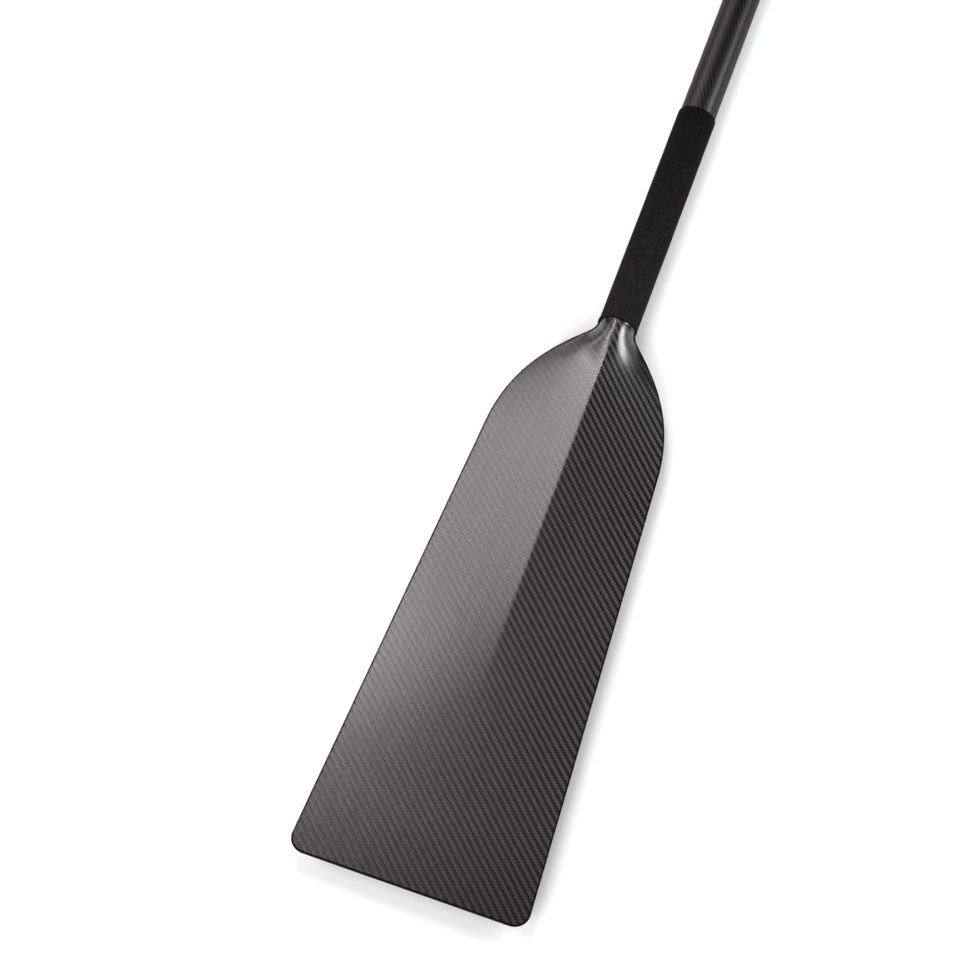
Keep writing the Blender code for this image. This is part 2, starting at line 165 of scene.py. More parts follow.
class Row:
    """What the blade's section needs to know at one height."""

    def __init__(self, y):
        self.y = y
        self.m = roundness(y)
        self.b = smooth(NECK_START, NECK_FULL, y)
        self.c = 1.0 - smooth(CREASE_LOW, CREASE_HIGH, y)
        self.w = width_inside(y, skin_inset(y))
        self.h = ridge_half(y)
        self.t = SKIN + (WALL - SKIN) * self.m

    def outer(self, s):
        a = abs(s)
        e = CREASE_SOFT
        sharp = (math.sqrt(a * a + e * e) - e) / (math.sqrt(1.0 + e * e) - e)
        bell = math.cos(0.5 * math.pi * sharp) ** 2
        facet = (1.0 - self.b) * (1.0 - sharp) + self.b * bell
        crown = (1.0 - self.c) * facet + self.c * (1.0 - a * a)
        ang = 0.5 * math.pi * a
        m = self.m
        x = self.w * ((1.0 - m) * a + m * math.sin(ang))
        z = (1.0 - m) * (EDGE_HALF + (self.h - EDGE_HALF) * crown) + m * self.h * math.cos(ang)
        return math.copysign(x, s), z

    def inner(self, s):
        x, z = self.outer(s)
        ang = 0.5 * math.pi * abs(s)
        x -= math.copysign(self.m * self.t * math.sin(ang), s)
        return x, z - self.t * ((1.0 - self.m) + self.m * math.cos(ang))


# ---------------------------------------------------------------- meshes
def finish_mesh(name, verts, faces, cloth, mat, angle=35.0):
    """Closed mesh from points in metres; cloth holds each point's place on the flat cloth."""
    mesh = bpy.data.meshes.new(name)
    mesh.from_pydata([tuple(v) for v in verts], [], faces)
    if cloth is not None:
        attr = mesh.attributes.new("cloth", "FLOAT_VECTOR", "POINT")
        attr.data.foreach_set("vector", [c for uv in cloth for c in (uv[0], uv[1], 0.0)])
    bm = bmesh.new()
    bm.from_mesh(mesh)
    bmesh.ops.recalc_face_normals(bm, faces=bm.faces[:])
    bm.to_mesh(mesh)
    bm.free()
    mesh.materials.append(mat)
    mesh.shade_smooth()
    mesh.set_sharp_from_angle(angle=math.radians(angle))
    ob = bpy.data.objects.new(name, mesh)
    bpy.context.scene.collection.objects.link(ob)
    return ob


def grid_shell(name, outer, inner, cloth, mat):
    """Closed wall between two grids of points; cloth has one (u, v) per grid point."""
    rows, cols = len(outer), len(outer[0])
    verts = [place(*p) for row in outer for p in row] + [place(*p) for row in inner for p in row]
    uv = [c for row in cloth for c in row] * 2
    n = rows * cols
    faces = []

    def o(j, i):
        return j * cols + i

    for j in range(rows - 1):
        for i in range(cols - 1):
            a, b, c, d = o(j, i), o(j, i + 1), o(j + 1, i + 1), o(j + 1, i)
            faces.append((a, b, c, d))
            faces.append((a + n, d + n, c + n, b + n))
    for i in range(cols - 1):
        faces.append((o(0, i + 1), o(0, i), o(0, i) + n, o(0, i + 1) + n))
        k = rows - 1
        faces.append((o(k, i), o(k, i + 1), o(k, i + 1) + n, o(k, i) + n))
    for j in range(rows - 1):
        faces.append((o(j, 0), o(j + 1, 0), o(j + 1, 0) + n, o(j, 0) + n))
        k = cols - 1
        faces.append((o(j + 1, k), o(j, k), o(j, k) + n, o(j + 1, k) + n))
    return finish_mesh(name, verts, faces, uv, mat)


def turned(name, profile, segments, mat, wobble=None, angle=35.0):
    """Ring swept from a closed (radius, y) profile about the paddle's axis."""
    verts, faces = [], []
    n = len(profile)
    for k in range(segments):
        a = 2.0 * math.pi * k / segments
        for r, y in profile:
            rr = r + (wobble(a, y, r) if wobble else 0.0)
            verts.append(place(rr * math.cos(a), y, rr * math.sin(a)))
    for k in range(segments):
        p, q = k * n, ((k + 1) % segments) * n
        for i in range(n):
            j = (i + 1) % n
            faces.append((p + i, p + j, q + j, q + i))
    return finish_mesh(name, verts, faces, None, mat, angle)


def blade_rows():
    r = CORNER_R - INSET
    rows = [CORNER_R - r * math.cos(0.5 * math.pi * i / 16) for i in range(17)]
    rows += spread(CORNER_R, FLAT_LEN, 8)
    rows += spread(FLAT_LEN, 300.0, 60)
    rows += spread(300.0, NECK_START, 50)
    rows += spread(NECK_START, NECK_Y, 56)
    rows += [SOCKET_START + 0.2, SOCKET_START + 0.7]
    rows += spread(SOCKET_START + 0.7, SOCKET_END, 6)
    return rows


def half_columns():
    s = [0.0, 0.003, 0.006, 0.010, 0.015, 0.021, 0.030, 0.042, 0.058, 0.08]
    s += spread(0.08, 0.90, 22)
    s += spread(0.90, 1.0, 6)
    return s


def make_skin(name, sign, mat):
    half = half_columns()
    columns = [-s for s in reversed(half[1:])] + half
    outer, inner, cloth = [], [], []
    for y in blade_rows():
        row = Row(y)
        ro = [row.outer(s) for s in columns]
        ri = [row.inner(s) for s in columns]
        mid = len(half) - 1
        arc = [0.0] * len(columns)
        for i in range(mid + 1, len(columns)):
            arc[i] = arc[i - 1] + math.dist(ro[i], ro[i - 1])
            arc[2 * mid - i] = -arc[i]
        outer.append([(x, y, sign * max(z, SEAM)) for x, z in ro])
        inner.append([(x, y, sign * max(z, SEAM)) for x, z in ri])
        cloth.append([(sign * a * MM, y * MM) for a in arc])
    return grid_shell(name, outer, inner, cloth, mat)


def make_rail(mat):
    """Edge bead with a rounded outside, and the tongue that the skins hold."""
    right = []
    r = CORNER_R
    cx = straight_width(r) - r
    for i in range(25):
        a = 0.5 * math.pi * i / 24
        right.append((cx + r * math.sin(a), r - r * math.cos(a), -math.sin(a), math.cos(a), 0.0))
    for y in spread(r, SHOULDER_Y, 60) + spread(SHOULDER_Y, NECK_Y, 120) + [RAIL_END]:
        d = outline_slope(y)
        k = math.sqrt(1.0 + d * d)
        right.append((straight_width(y), y, -1.0 / k, d / k, y))
    left = [(-x, y, -nx, ny, v) for x, y, nx, ny, v in right]
    middle = [(cx * t, 0.0, 0.0, 1.0, 0.0) for t in spread(-1.0, 1.0, 16)[:-1]]
    verts, faces = [], []
    path = left[::-1] + middle + right
    n = 0
    for px, py, nx, ny, v in path:
        deep = INSET - 2.0 * SEAM
        tall = max(BEAD_HALF, EDGE_HALF * (1.0 - roundness(v)))
        tongue = TONGUE + (deep + 0.6 - TONGUE) * smooth(TONGUE_END - 10.0, TONGUE_END, v)
        if v > TONGUE_END - 0.01:
            tongue = deep + 0.02
        shape = []
        for i in range(8):
            a = math.radians(6.0 + 84.0 * i / 7)
            shape.append((0.80 * (1.0 - math.cos(a)), -tall * math.sin(a)))
        shape += [(deep, -tall), (deep, -TONGUE_HALF), (tongue, -TONGUE_HALF)]
        shape = shape + [(d, -z) for d, z in reversed(shape)]
        n = len(shape)
        verts += [place(px + nx * d, py + ny * d, z) for d, z in shape]
    for k in range(len(path) - 1):
        a, b = k * n, (k + 1) * n
        for i in range(n):
            j = (i + 1) % n
            faces.append((a + i, a + j, b + j, b + i))
    for a in (0, (len(path) - 1) * n):
        for i in range(n // 2 - 1):
            faces.append((a + i, a + i + 1, a + n - 2 - i, a + n - 1 - i))
    return finish_mesh("edge_bead", verts, faces, None, mat, 40.0)


# ---------------------------------------------------------------- handle
def handle_cage():
    neck_r = SHAFT_R * 3.0 / (2.0 + math.cos(math.radians(30.0)))
    bar_r = BAR_R * 3.0 / (2.0 + math.cos(math.radians(45.0)))
    bm = bmesh.new()
    x2 = neck_r * math.sin(math.radians(15.0))
    x1 = neck_r * math.cos(math.radians(38.0))
    stations = [x2, x1, 27.0, 41.0, 50.5, BAR_HALF + 0.9]
    scale = {x2: 1.0, x1: 1.0, 27.0: 1.0, 41.0: 0.975, 50.5: 0.885, BAR_HALF + 0.9: 0.60}
    droop = {x2: 0.0, x1: 0.0, 27.0: 0.4, 41.0: 1.3, 50.5: 2.3, BAR_HALF + 0.9: 3.0}
    xs = [-v for v in reversed(stations)] + stations
    rings = []
    for x in xs:
        k, dy = scale[abs(x)], droop[abs(x)]
        rings.append([bm.verts.new(Vector((x, BAR_Y - dy + bar_r * k * math.cos(a),
                                           bar_r * k * math.sin(a))))
                      for a in (math.radians(22.5 + 45.0 * j) for j in range(8))])
    lo, hi = xs.index(-x1), xs.index(x1)
    for i in range(len(xs) - 1):
        for j in range(8):
            if lo <= i < hi and j in (2, 3, 4):
                continue
            a, b = rings[i], rings[i + 1]
            bm.faces.new((a[j], b[j], b[(j + 1) % 8], a[(j + 1) % 8]))
    for r in (rings[0], rings[-1]):
        for q in ((0, 1, 6, 7), (1, 2, 5, 6), (2, 3, 4, 5)):
            bm.faces.new([r[i] for i in q])
    for i in range(lo + 1, hi):
        for j in (3, 4):
            bm.verts.remove(rings[i][j])
    m1, m2 = xs.index(-x2), xs.index(x2)
    rim = [rings[hi][3], rings[hi][2], rings[m2][2], rings[m1][2], rings[lo][2], rings[lo][3],
           rings[lo][4], rings[lo][5], rings[m1][5], rings[m2][5], rings[hi][5], rings[hi][4]]
    previous = rim
    for y, wide in ((BAR_Y - 26.0, 1.16), (BAR_Y - 37.0, 1.03), (BAR_Y - 50.0, 1.0),
                    (BAR_Y - 64.0, 1.0), (HANDLE_Y, 1.0)):
        ring = []
        for k in range(12):
            a = math.radians(15.0 + 30.0 * k)
            ring.append(bm.verts.new(Vector((neck_r * wide * math.cos(a), y,
                                             neck_r * math.sin(a)))))
        for k in range(12):
            bm.faces.new((previous[k], previous[(k + 1) % 12], ring[(k + 1) % 12], ring[k]))
        previous = ring
    bmesh.ops.recalc_face_normals(bm, faces=bm.faces[:])
    return bm


def smoothed_handle(levels):
    bm = handle_cage()
    mesh = bpy.data.meshes.new("handle_cage")
    bm.to_mesh(mesh)
    bm.free()
    cage = bpy.data.objects.new("handle_cage", mesh)
    bpy.context.scene.collection.objects.link(cage)
    sub = cage.modifiers.new("Subdivision", "SUBSURF")
    sub.levels = levels
    sub.render_levels = levels
    sub.use_limit_surface = True
    bpy.context.view_layer.update()
    evaluated = cage.evaluated_get(bpy.context.evaluated_depsgraph_get())
    fine = bpy.data.meshes.new_from_object(evaluated)
    verts = [v.co.copy() for v in fine.vertices]
    faces = [list(p.vertices) for p in fine.polygons]
    fat = BAR_R / max(abs(v.z) for v in verts)
    tall = LENGTH - max(v.y for v in verts)
    for v in verts:
        v.z *= 1.0 + (fat - 1.0) * smooth(BAR_Y - 44.0, BAR_Y - 12.0, v.y)
        v.y += tall * smooth(BAR_Y - 44.0, BAR_Y, v.y)
    bpy.data.objects.remove(cage, do_unlink=True)
    bpy.data.meshes.remove(mesh)
    bpy.data.meshes.remove(fine)
    normals = [Vector((0.0, 0.0, 0.0)) for _ in verts]
    for f in faces:
        a, b, c, d = (verts[i] for i in f)
        n = (c - a).cross(d - b)
        for i in f:
            normals[i] += n
    for i, v in enumerate(verts):
        n = normals[i]
        if v.y < HANDLE_Y + 0.01:
            n = Vector((v.x, 0.0, v.z))
            verts[i] = Vector((v.x, HANDLE_Y, v.z))
        elif abs(v.z) < 1e-4:
            n.z = 0.0
        normals[i] = n.normalized()
    return verts, normals, faces


def handle_cloth(v, sign):
    """Place on the flat cloth: rolled about the shaft on the neck, about the bar on the bar."""
    k = smooth(BAR_Y - 34.0, BAR_Y - 15.0, v.y)
    z = sign * v.z
    round_neck = SHAFT_R * math.atan2(v.x, max(z, 0.0) + 1e-6)
    round_bar = BAR_R * math.atan2(v.y - BAR_Y, max(z, 0.0) + 1e-6) + BAR_Y
    u = (1.0 - k) * round_neck + k * v.x
    w = (1.0 - k) * v.y + k * round_bar
    return sign * u * MM, w * MM


def make_handle_shell(name, sign, data, mat):
    verts, normals, faces = data
    keep = [f for f in faces if sign * sum(verts[i].z for i in f) > 0.0]
    used = sorted({i for f in keep for i in f})
    index = {i: k for k, i in enumerate(used)}
    n = len(used)
    out, ins, cloth = [], [], []
    for i in used:
        v, q = verts[i], verts[i] - normals[i] * SHELL
        out.append(place(v.x, v.y, sign * max(SEAM, sign * v.z)))
        ins.append(place(q.x, q.y, sign * max(SEAM, sign * q.z)))
        cloth.append(handle_cloth(v, sign))
    shell_faces, edges = [], {}
    for f in keep:
        g = [index[i] for i in f]
        shell_faces.append(g)
        shell_faces.append([i + n for i in reversed(g)])
        for a, b in zip(g, g[1:] + g[:1]):
            edges.setdefault(frozenset((a, b)), []).append((a, b))
    for pair in edges.values():
        if len(pair) == 1:
            a, b = pair[0]
            shell_faces.append((b, a, a + n, b + n))
    return finish_mesh(name, out + ins, shell_faces, cloth * 2, mat)


# ---------------------------------------------------------------- shader helpers
class Nodes:
    """Small helper that adds nodes to a material and links sockets or plain numbers."""

    def __init__(self, tree):
        self.tree = tree

    def put(self, node, socket, value):
        if value is None:
            return
        if isinstance(value, bpy.types.NodeSocket):
            self.tree.links.new(value, node.inputs[socket])
        else:
            node.inputs[socket].default_value = value

    def math(self, op, a, b=None, c=None, clamp=False):
        n = self.tree.nodes.new("ShaderNodeMath")
        n.operation = op
        n.use_clamp = clamp
        for i, v in enumerate((a, b, c)):
            self.put(n, i, v)
        return n.outputs[0]

    def vector(self, op, a, b=None, scale=None):
        n = self.tree.nodes.new("ShaderNodeVectorMath")
        n.operation = op
        self.put(n, 0, a)
        self.put(n, 1, b)
        if scale is not None:
            self.put(n, "Scale", scale)
        return n.outputs["Value"] if op in ("LENGTH", "DOT_PRODUCT") else n.outputs["Vector"]

    def split(self, v):
        n = self.tree.nodes.new("ShaderNodeSeparateXYZ")
        self.put(n, 0, v)
        return n.outputs[0], n.outputs[1], n.outputs[2]

    def join(self, x, y, z):
        n = self.tree.nodes.new("ShaderNodeCombineXYZ")
        for i, v in enumerate((x, y, z)):
            self.put(n, i, v)
        return n.outputs[0]

    def noise(self, vector, scale, detail=2.0, roughness=0.5):
        n = self.tree.nodes.new("ShaderNodeTexNoise")
        self.put(n, "Vector", vector)
        n.inputs["Scale"].default_value = scale
        n.inputs["Detail"].default_value = detail
        n.inputs["Roughness"].default_value = roughness
        return n.outputs["Fac"]

    def random(self, w):
        n = self.tree.nodes.new("ShaderNodeTexWhiteNoise")
        n.noise_dimensions = "1D"
        self.put(n, "W", w)
        return n.outputs["Value"]

    def step(self, low, high, value, out_low=0.0, out_high=1.0):
        """Smooth step from low to high."""
        n = self.tree.nodes.new("ShaderNodeMapRange")
        n.interpolation_type = "SMOOTHSTEP"
        self.put(n, "Value", value)
        self.put(n, "From Min", low)
        self.put(n, "From Max", high)
        n.inputs["To Min"].default_value = out_low
        n.inputs["To Max"].default_value = out_high
        return n.outputs["Result"]

    def mix(self, factor, a, b):
        n = self.tree.nodes.new("ShaderNodeMix")
        n.data_type = "FLOAT"
        self.put(n, 0, factor)
        self.put(n, 2, a)
        self.put(n, 3, b)
        return n.outputs[0]

    def mix_vector(self, factor, a, b):
        n = self.tree.nodes.new("ShaderNodeMix")
        n.data_type = "VECTOR"
        self.put(n, 0, factor)
        self.put(n, 4, a)
        self.put(n, 5, b)
        return n.outputs[1]

    def mix_colour(self, factor, a, b):
        n = self.tree.nodes.new("ShaderNodeMix")
        n.data_type = "RGBA"
        self.put(n, 0, factor)
        self.put(n, 6, a)
        self.put(n, 7, b)
        return n.outputs[2]

    def tint(self, value, colour):
        """Colour times a brightness."""
        n = self.tree.nodes.new("ShaderNodeVectorMath")
        n.operation = "SCALE"
        n.inputs[0].default_value = colour
        self.put(n, "Scale", value)
        return n.outputs["Vector"]

    def bump(self, height, distance, strength=1.0, normal=None):
        n = self.tree.nodes.new("ShaderNodeBump")
        n.inputs["Strength"].default_value = strength
        n.inputs["Distance"].default_value = distance
        self.put(n, "Height", height)
        self.put(n, "Normal", normal)
        return n.outputs[0]

    def attribute(self, name):
        n = self.tree.nodes.new("ShaderNodeAttribute")
        n.attribute_type = "GEOMETRY"
        n.attribute_name = name
        return n.outputs["Vector"]

    def object_place(self):
        return self.tree.nodes.new("ShaderNodeTexCoord").outputs["Object"]

    def normal(self):
        return self.tree.nodes.new("ShaderNodeNewGeometry").outputs["Normal"]


def new_material(name):
    mat = bpy.data.materials.new(name)
    mat.use_nodes = True
    nodes = Nodes(mat.node_tree)
    return mat, nodes, mat.node_tree.nodes["Principled BSDF"]


def blob(k, u, v, cu, cv, lean, half_across, half_along, soft):
    """One soft ellipse in every repeat of the twill, at (cu, cv) tows and leaning by an angle."""
    p = k.math("MULTIPLY_ADD", k.math("ADD", u, v), 0.25, 0.5 - 0.25 * (cu + cv))
    q = k.math("MULTIPLY_ADD", k.math("SUBTRACT", u, v), 0.5, 0.5 - 0.5 * (cu - cv))
    p = k.math("ADD", k.math("FRACT", p), -0.5)
    q = k.math("ADD", k.math("FRACT", q), -0.5)
    du = k.math("MULTIPLY_ADD", p, 2.0, q)
    dv = k.math("SUBTRACT", k.math("MULTIPLY", p, 2.0), q)
    c, s = math.cos(math.radians(lean)), math.sin(math.radians(lean))
    wide = k.math("ADD", k.math("MULTIPLY", du, c / half_across),
                  k.math("MULTIPLY", dv, -s / half_across))
    tall = k.math("ADD", k.math("MULTIPLY", du, s / half_along),
                  k.math("MULTIPLY", dv, c / half_along))
    r = k.math("SQRT", k.math("ADD", k.math("MULTIPLY", wide, wide),
                              k.math("MULTIPLY", tall, tall)))
    return k.step(1.0 - soft, 1.0 + soft, r, 1.0, 0.0)


def twill(k, u, v):
    """2x2 twill cloth; u and v count tows across and along.

    Gives the mask of the lengthwise tows, the tow's rounded form, its height and its tone.
    """
    i, j = k.math("FLOOR", u), k.math("FLOOR", v)
    fu, fv = k.math("SUBTRACT", u, i), k.math("SUBTRACT", v, j)
    phase = k.math("FLOORED_MODULO", k.math("ADD", i, j), 4.0)
    warp = k.math("LESS_THAN", phase, 1.5)
    across = k.mix(warp, fv, fu)
    run = k.mix(warp, k.math("ADD", k.math("SUBTRACT", phase, 2.0), fu), k.math("ADD", phase, fv))
    # round section across the tow, and a float that dives under at both of its ends
    ca = k.math("MULTIPLY_ADD", across, 2.0, -1.0)
    cr = k.math("SUBTRACT", run, 1.0)
    section = k.math("SUBTRACT", 1.0, k.math("MULTIPLY", ca, ca))
    float_end = k.math("SUBTRACT", 1.0, k.math("POWER", k.math("ABSOLUTE", cr), 2.0))
    height = k.math("MULTIPLY", k.math("POWER", k.math("MAXIMUM", section, 0.0), 0.7),
                    k.math("MULTIPLY_ADD", k.math("MAXIMUM", float_end, 0.0), 0.85, 0.15))
    number = k.mix(warp, k.math("ADD", j, 37.0), i)
    tone = k.random(k.math("MULTIPLY_ADD", number, 0.731, 0.17))
    return warp, height, tone


# brightness of the fibres: where a lengthwise tow is painted lit on top, on a crosswise tow,
# and between them
TOW_COLOUR = (1.095, 1.0, 1.01)
BASE_WARP = 0.038
BASE_WEFT = 0.022
BASE_GAP = 0.013
FIBRE_ROUGH = 0.52
WEFT_ROUGH = 0.50
FIBRE_SPREAD = 0.9
COAT_ROUGH = 0.27


def carbon(name, chart, coat_rough=COAT_ROUGH, coat=1.0, rim=1.0, tow=TOW, gain=1.0):
    """Twill carbon under clear resin.  chart is blade, shaft or handle, rim the glancing gloss."""
    mat, k, bsdf = new_material(name)
    where = k.object_place()
    x, y, z = k.split(where)
    if chart == "shaft":
        angle = k.math("ARCTAN2", k.math("SUBTRACT", z, AXIS_H * MM), x)
        turn = math.atan2(SHAFT_TOWS[1], SHAFT_TOWS[0])
        u0 = k.math("MULTIPLY", angle, -SHAFT_TOWS[0] / (2.0 * math.pi))
        u0 = k.math("MULTIPLY_ADD", y, -math.sin(turn) / (tow * MM), u0)
        v0 = k.math("MULTIPLY", y, math.cos(turn) / (tow * MM))
        v0 = k.math("MULTIPLY_ADD", angle, -SHAFT_TOWS[1] / (2.0 * math.pi), v0)
    else:
        u0, v0, _ = k.split(k.attribute("cloth"))
        u0 = k.math("DIVIDE", u0, tow * MM * TOW_ACROSS / TOW)
        v0 = k.math("DIVIDE", v0, tow * MM)
        v0 = k.math("MULTIPLY_ADD", u0, -SKEW, v0)
    # the cloth isn't laid perfectly straight: its tows wander by a part of their width
    drift = k.noise(where, 22.0, 1.0)
    drift2 = k.noise(k.vector("ADD", where, (3.1, 1.7, 0.4)), 17.0, 1.0)
    u = k.math("MULTIPLY_ADD", drift, 0.9, u0)
    v = k.math("MULTIPLY_ADD", drift2, 0.9, v0)
    warp, height, tone = twill(k, u, v)

    # painted highlight: a lengthwise float is painted lit as a leaning dash high on the
    # blade, and as a whole step of the twill line towards the tip
    highlight_dash = blob(k, u, v, 0.5, 1.0, 30.0, 0.41, 0.88, 0.26)
    step = warp
    # painted light: 1 at the tip, fading to 0 by 400 mm, makes the floats' painted highlight whole and
    # brighter; a fixed share on the shaft and handle
    painted_float_light = k.step((60.0 - LENGTH / 2) * MM, (400.0 - LENGTH / 2) * MM, y, 1.0, 0.0)
    if chart != "blade":
        painted_float_light = 0.15 if chart == "shaft" else 0.5
    # painted highlight mask of the lengthwise floats; it also picks their roughness and tangent
    painted_highlight = k.mix(k.math("MULTIPLY_ADD", painted_float_light, 0.56, 0.18), highlight_dash, step)
    slash = blob(k, u, v, -0.35, 1.0, 4.0, 0.26, 0.66, 0.32)

    # colour: two tow directions, dark gaps, tow to tow tone, slow cloudiness, painted highlights
    # on the floats, and painted brightening of the floats with darker gaps towards the tip
    cloud = k.noise(where, 26.0, 3.0, 0.6)
    top = k.math("MULTIPLY", k.mix(painted_float_light, 1.06 * BASE_WARP * gain, 1.70 * BASE_WARP * gain),
                 k.math("MULTIPLY_ADD", tone, 0.22, 0.89))
    low = k.mix(k.step(0.2, 0.8, height), BASE_GAP * gain, BASE_WEFT * gain)
    low = k.math("MULTIPLY", low, k.math("MULTIPLY_ADD", painted_float_light, -0.72, 1.0))
    value = k.mix(painted_highlight, low, top)
    value = k.math("MULTIPLY", value, k.math("MULTIPLY_ADD", cloud, 0.20, 0.90))
    colour = k.tint(value, TOW_COLOUR)
    k.put(bsdf, "Base Color", colour)
    bsdf.inputs["Metallic"].default_value = 1.0
    k.put(bsdf, "Roughness", k.math("MULTIPLY_ADD", cloud, 0.08,
                                    k.mix(painted_highlight, WEFT_ROUGH - 0.04, FIBRE_ROUGH - 0.04)))
    bsdf.inputs["Anisotropic"].default_value = FIBRE_SPREAD
    # the resin sinks in beside each float
    sunk = k.math("MULTIPLY", slash, k.math("MULTIPLY_ADD", painted_float_light, 0.48, 0.20))
    k.put(bsdf, "Coat Weight", k.math("MULTIPLY_ADD", sunk, -coat, coat))
    bsdf.inputs["Specular Tint"].default_value = (rim, rim, rim, 1.0)
    bsdf.inputs["Coat Roughness"].default_value = coat_rough
    bsdf.inputs["Coat IOR"].default_value = 1.5

    # light fans out across the fibres: the tangent lies across whichever tow is on top
    n = k.normal()
    across_dir = k.vector("CROSS_PRODUCT", (0.0, 1.0, 0.0), n)
    if chart == "handle":
        on_bar = k.step((BAR_Y - 34.0 - LENGTH / 2) * MM, (BAR_Y - 15.0 - LENGTH / 2) * MM, y)
        across_dir = k.mix_vector(on_bar, across_dir, (1.0, 0.0, 0.0))
    along_dir = k.vector("CROSS_PRODUCT", n, across_dir)
    lengthwise = k.math("GREATER_THAN", k.math("MAXIMUM", warp, painted_highlight), 0.5)
    tangent = k.mix_vector(lengthwise, along_dir, across_dir)
    k.put(bsdf, "Tangent", k.vector("NORMALIZE", tangent))

    k.put(bsdf, "Normal", k.bump(height, 0.000010))
    k.put(bsdf, "Coat Normal", k.bump(height, 0.000003))
    return mat


def rubber():
    mat, k, bsdf = new_material("sleeve_rubber")
    where = k.object_place()
    x, y, z = k.split(where)
    fine = k.noise(where, 2600.0, 3.0, 0.65)
    coarse = k.noise(where, 520.0, 2.0, 0.5)
    cloud = k.noise(where, 38.0, 3.0, 0.6)
    # painted light falloff: lighter towards the blade and darker towards the top end; mottled all over
    value = k.math("MULTIPLY_ADD", cloud, 0.0040, 0.0060)
    value = k.math("MULTIPLY", value, k.math("MULTIPLY_ADD", y, -3.7, 0.66))
    value = k.math("MULTIPLY", value, k.math("MULTIPLY_ADD", fine, 0.8, 0.60))
    value = k.math("MULTIPLY", value,
                   k.math("MAXIMUM", k.math("MULTIPLY_ADD", coarse, 3.0, -0.50), 0.1))
    k.put(bsdf, "Base Color", k.tint(value, (1.12, 1.0, 1.03)))
    k.put(bsdf, "Roughness", k.math("MULTIPLY_ADD", coarse, 0.16, 0.68))
    bsdf.inputs["Specular IOR Level"].default_value = 0.03
    height = k.math("MULTIPLY_ADD", coarse, 0.6, k.math("MULTIPLY", fine, 0.7))
    k.put(bsdf, "Normal", k.bump(height, 0.00006))
    return mat


def edge_resin():
    mat, k, bsdf = new_material("edge_resin")
    where = k.object_place()
    fine = k.noise(where, 900.0, 2.0)
    cloud = k.noise(where, 60.0, 2.0)
    k.put(bsdf, "Base Color", k.tint(k.math("MULTIPLY_ADD", cloud, 0.003, 0.0035), (1.04, 1.0, 1.01)))
    k.put(bsdf, "Roughness", k.math("MULTIPLY_ADD", fine, 0.14, 0.50))
    bsdf.inputs["Specular IOR Level"].default_value = 0.01
    k.put(bsdf, "Normal", k.bump(fine, 0.00003))
    return mat


def plain_carbon():
    """Pultruded tubes and the web inside: straight fibres along the paddle."""
    mat, k, bsdf = new_material("fibre_plain")
    where = k.object_place()
    stretched = k.vector("MULTIPLY", where, (1.0, 0.03, 1.0))
    streak = k.noise(stretched, 2200.0, 3.0, 0.6)
    cloud = k.noise(where, 40.0, 2.0)
    value = k.math("MULTIPLY_ADD", streak, 0.030, 0.018)
    value = k.math("MULTIPLY", value, k.math("MULTIPLY_ADD", cloud, 0.3, 0.85))
    k.put(bsdf, "Base Color", k.tint(value, (1.03, 1.0, 1.01)))
    k.put(bsdf, "Roughness", k.math("MULTIPLY_ADD", streak, 0.2, 0.36))
    bsdf.inputs["Metallic"].default_value = 0.6
    bsdf.inputs["Anisotropic"].default_value = 0.6
    k.put(bsdf, "Normal", k.bump(streak, 0.00003))
    return mat


def foam():
    mat, k, bsdf = new_material("closed_cell_foam")
    where = k.object_place()
    n = k.tree.nodes.new("ShaderNodeTexVoronoi")
    k.put(n, "Vector", where)
    n.inputs["Scale"].default_value = 1600.0
    cells = n.outputs["Distance"]
    cloud = k.noise(where, 70.0, 3.0)
    value = k.math("MULTIPLY_ADD", cloud, 0.14, 0.62)
    value = k.math("MULTIPLY", value, k.step(0.0, 0.6, cells, 0.80, 1.0))
    k.put(bsdf, "Base Color", k.tint(value, (1.08, 1.0, 0.82)))
    bsdf.inputs["Roughness"].default_value = 0.9
    k.put(bsdf, "Normal", k.bump(cells, 0.0002, 0.6))
    return mat


